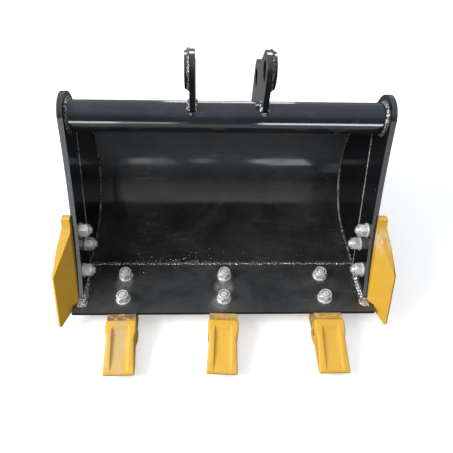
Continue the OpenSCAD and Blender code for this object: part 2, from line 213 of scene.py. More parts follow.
def black_enamel(name="black_enamel", film=(0.034, 0.035, 0.036), painted_sheen=0.0, rubbed=(), rough=0.0):
    """Glossy black paint on plate: slightly wavy, with fine scratches, dust and paint runs. film is the
    tone of the dust on top, which on the tube is bluish and there partly a painted reflection of the sky;
    painted_sheen is the tone of a painted pale reflection high up on the faces that turn to the front; and
    rubbed holds (place, reach, strength)."""
    material, tree, shader, place = node_material(name)
    dust = remap(tree, noise_at(tree, place, 9.0, 6.0, 0.62, distortion=0.6), 0.50, 0.78)
    dust = calc(tree, "MULTIPLY", dust, upward(tree))
    swirl = noise_at(tree, place, 22.0, 5.0, 0.65, stretch=(0.35, 1, 1), distortion=1.2)
    smear = remap(tree, swirl, 0.56, 0.74)
    marks = calc(tree, "MAXIMUM", scratches(tree, place, 6.0, 0.010, (0.3, 0.2, 0.5), 3.1),
                 scratches(tree, place, 9.0, 0.007, (0.9, 0.5, -0.4), 7.7))
    smudge = remap(tree, noise_at(tree, place, 6.5, 6.0, 0.68, distortion=1.6), 0.38, 0.60, 0.45, 1.0)
    tint = mix(tree, calc(tree, "MULTIPLY", upward(tree), smudge), (0.0065, 0.007, 0.0085), film)
    # Painted reflection: a paler, faintly blue tone on the faces high up that turn to the front.
    if painted_sheen:
        sheen_mask = remap(tree, noise_at(tree, place, 7.0, 5.0, 0.6, distortion=0.5), 0.25, 0.75, 0.55, 1.0)
        sheen_mask = calc(tree, "MULTIPLY", remap(tree, part_of(tree, place, 2), -0.345, -0.292), sheen_mask)
        sheen_mask = calc(tree, "MULTIPLY", sheen_mask, remap(tree, facing(tree, 1), -0.2, -0.6))
        tint = mix(tree, sheen_mask, tint, (painted_sheen * 0.93, painted_sheen, painted_sheen * 1.05))
    for spot, reach, strength in rubbed:
        near = remap(tree, distance_to(tree, place, spot), reach, reach * 0.55, 0.0, strength)
        worn = remap(tree, noise_at(tree, place, 90.0, 5.0, 0.65), 0.30, 0.60)
        worn = calc(tree, "MULTIPLY", worn, near)
        tint = mix(tree, worn, tint, (0.34, 0.34, 0.33))
    tint = mix(tree, calc(tree, "MULTIPLY", dust, 0.45), tint, (0.085, 0.088, 0.092))
    tint = mix(tree, calc(tree, "MULTIPLY", smear, 0.10), tint, (0.12, 0.12, 0.115))
    tint = mix(tree, calc(tree, "MULTIPLY", marks, 0.40), tint, (0.20, 0.20, 0.20))
    tree.links.new(tint, shader.inputs["Base Color"])
    gloss = remap(tree, noise_at(tree, place, 14.0, 4.0), 0.3, 0.7, 0.06 + rough, 0.14 + rough)
    gloss = calc(tree, "ADD", gloss, calc(tree, "MULTIPLY", dust, 0.30))
    gloss = calc(tree, "ADD", gloss, calc(tree, "MULTIPLY", marks, 0.20), clamp=True)
    tree.links.new(gloss, shader.inputs["Roughness"])
    shader.inputs["IOR"].default_value = 1.52
    bumps(tree, shader, [
        (noise_at(tree, place, 12.0, 1.0), 0.0010, 0.25),
        (noise_at(tree, place, 420.0, 2.0), 0.00004, 0.25),
        (marks, -0.00008, 0.6),
    ])
    return material


def yellow_enamel(name, film, soil, channel=None, scuffed=None):
    """Yellow-orange paint over a casting, under a film of pale dust and a stain of brown soil. channel
    is the x of a tooth whose dust lies in its channel, and scuffed the middle of a brushed patch."""
    material, tree, shader, place = node_material(name)
    patch = noise_at(tree, place, 30.0, 5.0, 0.6)
    tint = mix(tree, remap(tree, patch, 0.35, 0.68), (0.95, 0.54, 0.036), (0.90, 0.51, 0.050))
    dust = remap(tree, noise_at(tree, place, 26.0, 6.0, 0.62, distortion=0.4), 0.30, 0.62)
    dust = calc(tree, "MULTIPLY", calc(tree, "MULTIPLY", dust, upward(tree)), film)
    if channel is not None:
        off = calc(tree, "ABSOLUTE", calc(tree, "SUBTRACT", part_of(tree, place, 0), channel))
        dust = calc(tree, "MULTIPLY", dust, remap(tree, off, 0.018, 0.013, 0.15, 1.0))
    tint = mix(tree, dust, tint, (0.70, 0.53, 0.26))
    stain = remap(tree, noise_at(tree, place, 45.0, 6.0, 0.65, distortion=0.8), 0.34, 0.62)
    tint = mix(tree, calc(tree, "MULTIPLY", stain, soil), tint, (0.22, 0.14, 0.07))
    grime = remap(tree, noise_at(tree, place, 160.0, 4.0, 0.7), 0.60, 0.75)
    tint = mix(tree, calc(tree, "MULTIPLY", grime, 0.25), tint, (0.30, 0.16, 0.04))
    if scuffed:
        near = remap(tree, distance_to(tree, place, scuffed), 0.030, 0.014, 0.0, 0.65)
        brushed = noise_at(tree, place, 60.0, 4.0, 0.6, stretch=(3.0, 0.5, 0.7), distortion=0.5)
        brushed = calc(tree, "MULTIPLY", remap(tree, brushed, 0.47, 0.56), near)
        tint = mix(tree, brushed, tint, (0.93, 0.84, 0.62))
    marks = scratches(tree, place, 16.0, 0.012, (0.2, 0.4, 1.3), 5.3)
    tint = mix(tree, calc(tree, "MULTIPLY", marks, 0.5), tint, (0.95, 0.70, 0.35))
    tree.links.new(tint, shader.inputs["Base Color"])
    rough = remap(tree, noise_at(tree, place, 70.0, 4.0), 0.3, 0.7, 0.34, 0.52)
    tree.links.new(calc(tree, "ADD", rough, calc(tree, "MULTIPLY", dust, 0.3), clamp=True),
                   shader.inputs["Roughness"])
    bumps(tree, shader, [
        (noise_at(tree, place, 60.0, 4.0, 0.6), 0.0007, 0.5),
        (noise_at(tree, place, 700.0, 2.0), 0.00007, 0.5),
        (marks, -0.00006, 0.5),
    ])
    return material


def bare_metal(name, colour, low, high, grain, depth, metallic=1.0):
    """Plain metal with blotches in its tone, and a roughness from low to high."""
    material, tree, shader, place = node_material(name)
    patch = remap(tree, noise_at(tree, place, grain, 5.0, 0.6), 0.35, 0.65)
    darker = tuple(c * 0.78 for c in colour)
    tree.links.new(mix(tree, patch, darker, colour), shader.inputs["Base Color"])
    rough = remap(tree, noise_at(tree, place, grain * 1.7, 4.0), 0.3, 0.7, low, high)
    tree.links.new(rough, shader.inputs["Roughness"])
    shader.inputs["Metallic"].default_value = metallic
    bumps(tree, shader, [(noise_at(tree, place, grain * 3, 4.0), depth, 0.6)])
    return material


def weld_metal(name, low, high):
    """Lumpy weld under glossy black paint, with bare bright flecks where the paint missed."""
    material, tree, shader, place = node_material(name)
    bare = remap(tree, noise_at(tree, place, 330.0, 5.0, 0.75), low, high)
    tree.links.new(mix(tree, bare, (0.012, 0.012, 0.014), (0.90, 0.90, 0.88)), shader.inputs["Base Color"])
    tree.links.new(calc(tree, "MULTIPLY", bare, 0.8), shader.inputs["Metallic"])
    tree.links.new(remap(tree, noise_at(tree, place, 500.0, 2.0), 0.3, 0.7, 0.10, 0.30),
                   shader.inputs["Roughness"])
    bumps(tree, shader, [(noise_at(tree, place, 420.0, 4.0, 0.7), 0.0012, 0.9)])
    return material


def plain_dull(name, colour, rough, grain):
    """Rubber or plastic, faintly mottled."""
    material, tree, shader, place = node_material(name)
    patch = remap(tree, noise_at(tree, place, grain, 4.0), 0.35, 0.65)
    tree.links.new(mix(tree, patch, tuple(c * 0.8 for c in colour), colour), shader.inputs["Base Color"])
    tree.links.new(remap(tree, patch, 0.0, 1.0, rough, rough + 0.12), shader.inputs["Roughness"])
    bumps(tree, shader, [(noise_at(tree, place, grain * 4, 3.0), 0.00008, 0.5)])
    return material


BLACK = black_enamel()
# The wrapper carries a painted pale reflection on its upper faces that turn to the front.
BLACK_WRAPPER = black_enamel("black_enamel_wrapper", (0.032, 0.033, 0.034), painted_sheen=0.085)
# The tube's film on its upper faces is bluish: partly dust, partly a painted reflection of the blue sky.
BLACK_TUBE = black_enamel("black_enamel_tube", (0.016, 0.021, 0.034))
YELLOW = yellow_enamel("yellow_enamel", 0.12, 0.08)
YELLOW_DUSTY = yellow_enamel("yellow_enamel_dusty", 1.0, 0.10, channel=-0.212)
YELLOW_SOILED = yellow_enamel("yellow_enamel_soiled", 0.6, 0.75)
YELLOW_MUDDY = yellow_enamel("yellow_enamel_muddy", 0.3, 1.8)
ZINC = bare_metal("zinc_plate", (0.96, 0.96, 0.94), 0.20, 0.32, 380.0, 0.00010, 0.35)
STEEL = bare_metal("pin_steel", (0.42, 0.40, 0.37), 0.35, 0.6, 300.0, 0.0002)
WELD = weld_metal("weld_bead", 0.51, 0.58)
WELD_BARE = weld_metal("weld_bare", 0.44, 0.55)
NYLON = plain_dull("nylon", (0.035, 0.04, 0.055), 0.38, 500.0)
RUBBER = plain_dull("lock_rubber", (0.03, 0.03, 0.03), 0.6, 300.0)


# ------------------------------------------------------------------ mesh building

class Shape:
    """Gathers the rings and faces of one object, in metres."""

    def __init__(self):
        self.verts, self.faces = [], []

    def loft(self, rings, round_trip=False):
        """A skin over rings of equally many points, closed into a loop or capped at both ends."""
        start, n = len(self.verts), len(rings[0])
        for ring in rings:
            self.verts.extend(ring)
        last = len(rings) if round_trip else len(rings) - 1
        for i in range(last):
            a, b = start + i * n, start + (i + 1) % len(rings) * n
            for j in range(n):
                k = (j + 1) % n
                self.faces.append((a + j, a + k, b + k, b + j))
        if not round_trip:
            self.faces.append(tuple(start + j for j in reversed(range(n))))
            end = start + (len(rings) - 1) * n
            self.faces.append(tuple(end + j for j in range(n)))

    def turned(self, profile, where, segments=48, radius=None, round_trip=True):
        """A profile of (r, z), turned about Z and moved by the matrix where. radius, if given, turns an
        angle, r and z into how far the ring reaches at that angle."""
        rings = []
        for r, z in profile:
            ring = []
            for i in range(segments):
                angle = 2 * math.pi * i / segments
                reach = radius(angle, r, z) if radius else r
                ring.append(where @ Vector((reach * math.cos(angle), reach * math.sin(angle), z)))
            rings.append(ring)
        self.loft(rings, round_trip=round_trip)

    def shown(self, name):
        """An object with this shape, in the scene."""
        mesh = bpy.data.meshes.new(name)
        mesh.from_pydata([tuple(v) for v in self.verts], [], self.faces)
        piece = bpy.data.objects.new(name, mesh)
        bpy.context.scene.collection.objects.link(piece)
        return piece

    def made(self, name, material, slot, replaces=(), sharp=40.0):
        """The same as a smooth piece of the bucket, creased where its faces turn past sharp degrees."""
        piece = self.shown(name)
        bm = bmesh.new()
        bm.from_mesh(piece.data)
        bmesh.ops.recalc_face_normals(bm, faces=bm.faces)
        bm.to_mesh(piece.data)
        bm.free()
        smoothed(piece.data, sharp)
        piece.data.materials.append(material)
        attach(piece, "root")
        if replaces:
            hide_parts(*replaces)
        return piece


def smoothed(mesh, sharp):
    """Shades a mesh smooth, apart from the edges that turn by more than sharp degrees."""
    mesh.shade_smooth()
    mesh.set_sharp_from_angle(angle=math.radians(sharp))


def clean_edges(node, material, width, segments=2):
    """Keeps a CAD node, with its edges rounded by modifiers and a better material."""
    node.data.materials.clear()
    node.data.materials.append(material)
    weld = node.modifiers.new("weld", "WELD")
    weld.merge_threshold = 0.00002
    flat = node.modifiers.new("flat", "DECIMATE")
    flat.decimate_type = "DISSOLVE"
    flat.angle_limit = math.radians(0.4)
    bevel = node.modifiers.new("bevel", "BEVEL")
    bevel.width = width
    bevel.segments = segments
    bevel.limit_method = "ANGLE"
    bevel.angle_limit = math.radians(25)
    bevel.use_clamp_overlap = True
    bevel.miter_outer = "MITER_ARC"
    normals = node.modifiers.new("normals", "WEIGHTED_NORMAL")
    normals.keep_sharp = False
    normals.weight = 100


for name in ("side_plate_left", "side_plate_right", "side_bar_left", "side_bar_right",
             "ear_left", "ear_right", "arm_boss_left", "arm_boss_right"):
    clean_edges(nodes[name], BLACK, 0.0009)
clean_edges(nodes["torque_tube"], BLACK_TUBE, 0.0004)
clean_edges(nodes["wrapper"], BLACK_WRAPPER, 0.0004)
for name in ("tooth_adapter_left", "tooth_adapter_centre", "tooth_adapter_right"):
    clean_edges(nodes[name], YELLOW_MUDDY if name.endswith("left") else YELLOW_SOILED, 0.0016, 3)
clean_edges(nodes["side_cutter_left"], YELLOW, 0.0016, 3)
brushed_spot = PLACE @ on_plate(PLATE_OUT + 8, 132, 0)
YELLOW_SCUFFED = yellow_enamel("yellow_enamel_scuffed", 0.12, 0.08, scuffed=brushed_spot)
clean_edges(nodes["side_cutter_right"], YELLOW_SCUFFED, 0.0016, 3)
clean_edges(nodes["tooth_pins"], STEEL, 0.0008, 3)
clean_edges(nodes["tooth_pin_locks"], RUBBER, 0.0003)


# ------------------------------------------------------------------ fasteners

def hexagon(cone):
    """The reach of a hexagon at an angle, cut by a chamfer cone given as a function of z. It holds for
    the rings with r = 0, and the others keep their r."""
    def reach(angle, r, z):
        if r > 0:
            return r
        turn = angle % (math.pi / 3) - math.pi / 6
        return min(FLATS / 2 / math.cos(turn), cone(z))
    return reach


def nut_cone(z):
    """The chamfers at both ends of a nut's hexagon, 12 mm high."""
    return 12.35 + 1.75 * min(z, 12.0 - z)


def lock_nut(shape, where):
    """A hexagon nut with a rolled collar."""
    steps = [0.0, 0.3, 0.6, 0.9, 3.5, 8.5, 11.1, 11.4, 11.7, 12.0]
    profile = [(8.9, 0.0)] + [(0, z) for z in steps]
    profile += [(12.0, 12.1), (11.9, 12.6), (11.85, 14.4), (11.6, 15.3), (11.1, 15.8), (10.5, 15.95),
                (9.6, 15.8), (9.2, 15.3), (9.1, 14.6), (9.1, 12.2), (8.05, 12.0), (8.05, 0.9)]
    shape.turned(profile, where, 60, hexagon(nut_cone))


def nylon_ring(shape, where):
    """The ring held in a lock nut's collar."""
    profile = [(7.5, 12.3), (9.0, 12.3), (9.05, 13.3), (8.9, 13.7), (8.3, 13.8), (7.8, 13.7), (7.5, 13.3)]
    shape.turned(profile, where, 40)


def washer(shape, where):
    """A flat washer with broken edges."""
    profile = [(8.75, 0.3), (9.0, 0.05), (14.6, 0.05), (14.95, 0.35), (15.0, 1.5), (14.95, 2.6),
               (14.6, 2.95), (9.0, 2.95), (8.75, 2.7)]
    shape.turned(profile, where, 56)


def threaded(shape, where, low, high, head):
    """A bolt from its head's rings up: a plain shank, then a real thread from low to high, tapered at
    its end. r = -1 in the profile marks a ring of the thread."""
    head_reach = hexagon(lambda z: 12.3 + 1.75 * (z - head[0][1]))

    def reach(angle, r, z):
        if r != -1:
            return head_reach(angle, r, z)
        wave = abs(((z / THREAD_STEP - angle / (2 * math.pi)) % 1.0) - 0.5) * 2
        taper = 7.95 - 0.68 * max(0.0, z - (high - 3.5))
        return min(CORE_R + (THREAD_R - CORE_R) * min(1.0, wave * 1.25), taper)

    rows = int((high - low) / 0.25)
    profile = head + [(-1, low + (high - low) * i / rows) for i in range(rows + 1)]
    shape.turned(profile, where, 48, reach, round_trip=False)


def tooth_place(tooth):
    """Where tooth -1, 0 or 1 stands: turned a little about the middle between its two bolts."""
    turn = Matrix.Rotation(math.radians(SET[tooth + 1]), 4, "Z")
    middle = Matrix.Translation((tooth * PITCH, MID_BOLTS, 0))
    return PLACE @ middle @ turn @ Matrix.Translation((0, -MID_BOLTS, 0))


def lip_places():
    """Where each tooth bolt comes through the cutting edge, Z up from its top face."""
    for tooth in (-1, 0, 1):
        for y in BOLT_Y:
            turn = Matrix.Rotation(math.radians(12 * tooth + 0.4 * y), 4, "Z")
            yield tooth_place(tooth) @ Matrix.Translation((0, y, 0)) @ turn


def bar_places():
    """Where each side cutter bolt comes through a bar, Z running into the bucket from its face."""
    for side in (-1, 1):
        inward = Matrix.Rotation(math.radians(-90 * side), 4, "Y")
        for i, spot in enumerate(CUTTER_BOLTS):
            turn = Matrix.Rotation(math.radians(17 * i + 8 * side), 4, "Z")
            yield PLACE @ Matrix.Translation(on_plate(side * BAR_IN, *spot)) @ inward @ turn


def up(distance):
    return Matrix.Translation((0, 0, distance))


# The paint round the lip's nuts is rubbed grey, most of all between the middle pair.
rubbed = [(where.translation, 0.021, 0.42) for where in lip_places()]
rubbed += [(at(0, MID_BOLTS, 0), 0.024, 0.75), (at(-10, 22, 0), 0.022, 0.5), (at(-212, 70, 0), 0.022, 0.4)]
BLACK_LIP = black_enamel("black_enamel_lip", (0.046, 0.0475, 0.049), rubbed=rubbed, rough=0.18)
clean_edges(nodes["cutting_edge"], BLACK_LIP, 0.0009)

for group, places in (("adapter", list(lip_places())), ("side_cutter", list(bar_places()))):
    washers, nuts, rings, bolts = Shape(), Shape(), Shape(), Shape()
    for where in places:
        washer(washers, where)
        lock_nut(nuts, where @ up(WASHER_T))
        nylon_ring(rings, where @ up(WASHER_T))
        if group == "adapter":
            head = [(13.9, -26.0), (14.4, -25.8), (14.45, -25.4), (8.4, -19.2), (THREAD_R, -18.6)]
            head.append((THREAD_R, 2.0))
            threaded(bolts, where, 2.2, 20.2, head)
        else:
            back = BAR_IN - PLATE_OUT - CUTTER_T
            head = [(10.6, back - 9.2), (11.4, back - 9.9)]
            head += [(0, back - z) for z in (10.0, 9.6, 9.2, 8.8, 1.2, 0.8)]
            head += [(11.6, back - 0.7), (11.6, back), (THREAD_R, back + 0.2), (THREAD_R, 2.0)]
            threaded(bolts, where, 2.2, 24.0, head)
    washers.made(group + "_washers_round", ZINC, "zinc_plate", [group + "_washers"])
    nuts.made(group + "_nuts_collared", ZINC, "zinc_plate", [group + "_nuts"], 32)
    rings.made(group + "_nylon_rings", NYLON, "nylon", [group + "_nut_inserts"])
    bolts.made(group + "_bolts_threaded", ZINC, "zinc_plate", [group + "_bolts"], 50)


# ------------------------------------------------------------------ tooth points

def reading(table, x):
    """Straight-line interpolation in a table of (x, y), x falling."""
    for (x0, y0), (x1, y1) in zip(table, table[1:]):
        if x >= x1:
            return y0 + (y1 - y0) * (x0 - x) / (x0 - x1)
    return table[-1][1]


def eased(x):
    """A smooth step from 0 to 1."""
    x = min(1.0, max(0.0, x))
    return x * x * (3 - 2 * x)


# Where a point's top is sampled across, closest together at the channel's walls.
STEPS = (22.5, 20.4, 18.6, 17.6, 17.0, 16.5, 16.0, 15.5, 15.0, 14.4, 12.0, 8.0, 4.0)
ACROSS_TOP = STEPS + (0.0,) + tuple(-x for x in reversed(STEPS))


def tooth_ring(where, u, half, top, bottom, corner, channel=0.0, crown=0.0):
    """A cross-section of a point: a rounded box with a channel sunk in its top."""
    r = min(corner, (top - bottom) / 2.05)

    def rounded(x, v, start):
        """The points inside the quarter circle of a corner."""
        angles = [math.radians(start + 90 * i / 5) for i in range(1, 5)]
        return [(x + r * math.cos(t), v + r * math.sin(t)) for t in angles]

    points = [(-half + r + (2 * half - 2 * r) * i / 8, bottom) for i in range(9)]
    points += rounded(half - r, bottom + r, -90)
    points += [(half, bottom + r + (top - bottom - 2 * r) * i / 3) for i in range(4)]
    points += rounded(half - r, top - r, 0)
    for x in [half - r] + list(ACROSS_TOP) + [r - half]:
        sunk = 1 - eased((abs(x) - 14.8) / 2.6)
        rail = math.exp(-((abs(x) - 20.0) / 4.0) ** 2)
        points.append((x, top - channel * sunk + crown * rail))
    points += rounded(r - half, top - r, 90)
    points += [(-half, top - r - (top - bottom - 2 * r) * i / 3) for i in range(4)]
    points += rounded(r - half, bottom + r, 180)
    return [where @ Vector((x, u, v)) for x, v in points]


# A point's half width, top, underside and channel depth against u, from its back edge to its tip.
HALF = ((-16, 27.3), (-17, 28.6), (-19, 30.0), (-22, 30.5), (-38, 30.5), (-42, 30.1), (-46, 29.1),
        (-50, 28.0), (-54, 27.6), (-117, 30.5))
TOP = ((-16, -2.6), (-16.6, -1.0), (-18, -0.1), (-21, 0.0), (-32, -1.2), (-38, -3.0), (-44, -5.4),
       (-117, -32.2))
BOTTOM = ((-16, -44.0), (-17, -45.0), (-36, -46.0), (-87, -43.0), (-113, -38.6), (-117, -37.6))
CHANNEL = ((-30, 0.0), (-33, 2.4), (-37, 4.6), (-46, 5.4), (-80, 4.6), (-100, 2.6), (-110, 0.6), (-114, 0.0))


def tooth_point(name, tooth, material):
    """A point: its socket, its body from the back edge to the tip, and the hole for its pin."""
    where = tooth_place(tooth)
    rings = []
    socket = ((-70.5, -24.5, -31.5), (-64, -21.5, -34.5), (-40, -15.1, -36.0), (-16, -8.8, -37.4))
    for u, top, bottom in socket:
        rings.append(tooth_ring(where, u, 21.5, top, bottom, 1.5))
    stops = [-16, -16.4, -17, -18, -19.5, -21]
    stops += [-21 - 2.4 * i for i in range(1, 39)]
    for u in stops:
        half = reading(HALF, u) + 0.25 * noise.noise(Vector((tooth * 3.1, u * 0.09, 0)))
        channel = 0.0 if u > -30 else reading(CHANNEL, u)
        crown = 0.7 * eased((-34 - u) / 12) * eased((u + 112) / 20)
        rings.append(tooth_ring(where, u, half, reading(TOP, u), reading(BOTTOM, u), 3.2, channel, crown))
    for u, inset in ((-115.6, 0.3), (-116.5, 1.0), (-117.0, 2.2)):
        half, top = reading(HALF, u) - inset, reading(TOP, u) - inset
        rings.append(tooth_ring(where, u, half, top, reading(BOTTOM, u) + inset * 0.6, 2.0))
    body, hole = Shape(), Shape()
    body.loft(rings)
    piece = body.made(name, material, "yellow_enamel", ["tooth_" + name], 42)
    across = where @ Matrix.Translation((0, *POINT_PIN)) @ Matrix.Rotation(math.radians(90), 4, "Y")
    hole.turned([(PIN_HOLE_R, -33), (PIN_HOLE_R, 33)], across, 40, round_trip=False)
    cut_away(piece, hole)


def cut_away(piece, shape):
    """Cuts a shape out of a finished piece's mesh."""
    tool = shape.shown("cutter")
    step = piece.modifiers.new("hole", "BOOLEAN")
    step.operation = "DIFFERENCE"
    step.solver = "EXACT"
    step.object = tool
    bpy.context.view_layer.update()
    result = bpy.data.meshes.new_from_object(piece.evaluated_get(bpy.context.evaluated_depsgraph_get()))
    piece.modifiers.clear()
    result.name = piece.name
    piece.data = result
    smoothed(result, 42)
    bpy.data.objects.remove(tool)


tooth_point("point_left", -1, YELLOW_DUSTY)
tooth_point("point_centre", 0, YELLOW)
tooth_point("point_right", 1, YELLOW)


# ------------------------------------------------------------------ welds

def curve_points(points, step=0.9):
    """Even steps along a chain of points, in the units of the points."""
    out, left = [points[0]], step
    for a, b in zip(points, points[1:]):
        length = (b - a).length
        while left <= length:
            out.append(a + (b - a) * (left / length))
            left += step
        left -= length
    return out


def bead(shape, path, a, b, size, seed, flat=0.0, closed=False, rough=0.16):
    """A weld bead along path, in upright millimetres. a and b are the two plates' directions away from
    the corner. With flat, the bead's height over its half width, they are the direction along the plate
    and the one out of it."""
    points = path if closed else curve_points(path)
    rings, run = [], 0.0
    length = sum((q - p).length for p, q in zip(points, points[1:]))
    for i, c in enumerate(points):
        if i:
            run += (c - points[i - 1]).length
        da = (a(c) if callable(a) else a).normalized()
        db = (b(c) if callable(b) else b).normalized()
        swell = 1 + rough * 1.6 * noise.noise(Vector((run * 0.045, seed, 0)))
        swell += rough * 0.9 * noise.noise(Vector((run * 0.22, seed, 5)))
        ripple = run + 1.5 * noise.noise(Vector((run * 0.1, seed, 9)))
        swell *= 0.93 + 0.09 * abs(math.sin(math.pi * ripple / 3.1))
        if not closed:
            end = min(run, length - run) / 4.0
            swell *= math.sqrt(max(0.04, 1 - (1 - min(1.0, end)) ** 2))
        ring = []
        if flat:
            for k in range(9):
                t = math.radians(-4 + 188 * k / 8)
                ring.append(c + da * (size * swell * math.cos(t)) + db * (size * swell * flat * math.sin(t)))
            ring.append(c - db * 0.5 * size * flat)
        else:
            for k in range(8):
                t = math.radians(-5 + 100 * k / 7)
                r = size * swell / max(1.0, abs(math.cos(t)) + abs(math.sin(t))) ** 0.75
                ring.append(c + da * (r * math.cos(t)) + db * (r * math.sin(t)))
            ring.append(c - (da + db) * 0.12 * size)
        rings.append([PLACE @ p for p in ring])
    shape.loft(rings, round_trip=closed)


def side_arc(centre, r, start, stop, x, step=2.0):
    """Points on an arc in the side view, from one angle to another, in degrees."""
    count = max(2, int(abs(stop - start) / step))
    angles = [math.radians(start + (stop - start) * i / count) for i in range(count + 1)]
    return [Vector((x, centre[0] + r * math.cos(t), centre[1] + r * math.sin(t))) for t in angles]


def away_from(centre):
    return lambda c: Vector((0, c.y - centre[0], c.z - centre[1]))


def into(centre):
    return lambda c: Vector((0, centre[0] - c.y, centre[1] - c.z))


def on_flat(x, r):
    """Where the wrapper's round back, at radius r, becomes flat."""
    return Vector((x, *BACK)) + flat_n * r


def spanned(spot, reach):
    """A straight path across the bucket, through a spot in its middle."""
    return [spot - ACROSS * reach, spot + ACROSS * reach]


WRAP_IN, FLAT_DEG = WRAP_R - WRAP_T, math.degrees(FLAT_A)
FLOOR_V = WRAP_T - LIP_T
# The number after a bead's size is the seed of its lumps.
seams, ends, bare = Shape(), Shape(), Shape()
# The cutting edge to the wrapper, inside and underneath.
slope = Vector((0, 12, -6)).normalized()
bead(seams, spanned(Vector((0, LIP_BACK + 1.5, -2.4)), PLATE_IN), slope, Vector((0, 0.5, 1)), 6.4, 1,
     flat=0.55, rough=0.42)
bead(seams, spanned(Vector((0, LIP_BACK, -LIP_T)), PLATE_IN), BACKWARD, -UP, 5.0, 2, flat=0.35)
# The wrapper to the tube, inside and outside.
for face, seed in ((-1, 3), (1, 4)):
    offset = face * WRAP_T / 2
    spot = Vector((0, *TUBE)) + flat_n * offset - flat_d * math.sqrt(TUBE_R ** 2 - offset ** 2)
    bead(seams, spanned(spot, BAR_IN), -flat_d, flat_n * face, 4.6, seed)
for side in (-1, 1):
    inner, outer, bar = side * PLATE_IN, side * PLATE_OUT, side * BAR_IN
    inward, outward = -side * ACROSS, side * ACROSS
    # The wrapper's inner face to the side plate.
    path = [Vector((inner, LIP_BACK + 8, FLOOR_V)), Vector((inner, BACK[0], FLOOR_V))]
    bead(ends, path, UP, inward, 3.6, 10 + side)
    bead(ends, side_arc(BACK, WRAP_IN, -90, FLAT_DEG, inner), into(BACK), inward, 3.4, 12 + side)
    start = on_flat(inner, WRAP_IN)
    bead(ends, [start, start + flat_d * (FLAT_LEN - TUBE_R - 16)], -flat_n, inward, 3.4, 14 + side)
    # The wrapper's outer face to the side plate: flush round the back, then a corner behind the flat.
    path = [Vector((inner, LIP_BACK + 6, -LIP_T)), Vector((inner, BACK[0], -LIP_T))]
    bead(ends, path, ACROSS, -UP, 3.2, 16 + side, flat=0.16)
    path = side_arc(BACK, WRAP_R, -90, FLAT_DEG, inner)
    bead(ends, path, ACROSS, away_from(BACK), 3.2, 18 + side, flat=0.16)
    start = on_flat(inner, WRAP_R)
    bead(ends, [start, start + flat_d * (FLAT_LEN - TUBE_R)], flat_n, inward, 3.6, 20 + side)
    # The tube's end to the bar.
    path = side_arc(TUBE, TUBE_R, 0, 357, bar, 3.0)
    bead(ends, path, away_from(TUBE), inward, 5.2, 22 + side, closed=True, rough=0.26)
    # The bar's back edge.
    path = [on_plate(bar, 42, BAR_W - 0.5), on_plate(bar, 338, BAR_W - 0.5)]
    bead(bare, path, chord_n, inward, 1.7, 24 + side, flat=0.7, rough=0.3)
    # The bar's and the plate's feet on the cutting edge, with a lump and a smear in front of them.
    bead(bare, [Vector((bar, 118, 0)), Vector((bar, 31, 0))], inward, UP, 6.6, 26 + side, rough=0.5)
    path = [Vector((inner, LIP_BACK + 1, 0)), Vector((inner, 117, 0))]
    bead(bare, path, inward, UP, 5.8, 28 + side, rough=0.3)
    path = [Vector((bar + 7 * inward.x, FOOT[0], 0)), Vector((outer + 1.5 * outward.x, FOOT[0], 0))]
    bead(bare, path, -BACKWARD, UP, 9.0, 30 + side, rough=0.5)
    path = [Vector((bar + 9 * inward.x, 24, 0)), Vector((outer + 3 * outward.x, 20, 0))]
    bead(bare, path, BACKWARD, UP, 7.0, 34 + side, flat=0.14, rough=0.6)
    bead(ends, [Vector((outer, 62, 0)), Vector((outer, LIP_BACK, 0))], outward, UP, 4.6, 32 + side)
seams.made("weld_seams", WELD, "black_enamel", sharp=60)
ends.made("weld_sides", WELD, "black_enamel", sharp=60)
bare.made("weld_bar_feet", WELD_BARE, "black_enamel", sharp=60)

# The ears to the tube, down the wrapper's flat and round its back, on both faces of each ear.
ears = Shape()
toe_a = math.radians(136)
toe_out = Vector((0, math.cos(toe_a), math.sin(toe_a)))
toe_along = Vector((0, -toe_out.z, toe_out.y))
for side in (-1, 1):
    for face, away in ((EAR_IN, -1), (EAR_OUT, 1)):
        x, out = side * face, side * away * ACROSS
        path = side_arc(TUBE, TUBE_R, 133, FLAT_DEG - 90 + 8, x, 3.0)
        bead(ears, path, away_from(TUBE), out, 5.4, 40 + face + side, rough=0.3)
        start = on_flat(x, WRAP_R)
        bead(ears, [start + flat_d * (FLAT_LEN - TUBE_R + 2), start], flat_n, out, 5.0, 42 + face + side)
        bead(ears, side_arc(BACK, WRAP_R, FLAT_DEG, 17, x), away_from(BACK), out, 5.0, 44 + face + side)
    # The boss to the ear, and the ear's toe to the tube.
    path = side_arc(ARM_PIN, BOSS_R, 0, 357, side * EAR_OUT, 3.0)
    bead(ears, path, away_from(ARM_PIN), side * ACROSS, 4.4, 46 + side, closed=True, rough=0.3)
    path = [Vector((side * x, *TUBE)) + toe_out * TUBE_R for x in (EAR_IN - 1, EAR_OUT + 1)]
    bead(ears, path, toe_along, toe_out, 5.2, 48 + side)
ears.made("weld_ears", WELD, "black_enamel", sharp=60)

# Spatter: small domes of metal thrown beside the welds.
random.seed(7)
drops = Shape()


def drop(spot, n, r):
    """A drop of radius r on a surface that faces n."""
    where = PLACE @ Matrix.Translation(spot) @ n.to_track_quat("Z", "Y").to_matrix().to_4x4()
    profile = [(r, -0.3 * r), (r, 0.15 * r), (0.72 * r, 0.55 * r), (0.3 * r, 0.75 * r)]
    drops.turned(profile, where, 8, round_trip=False)


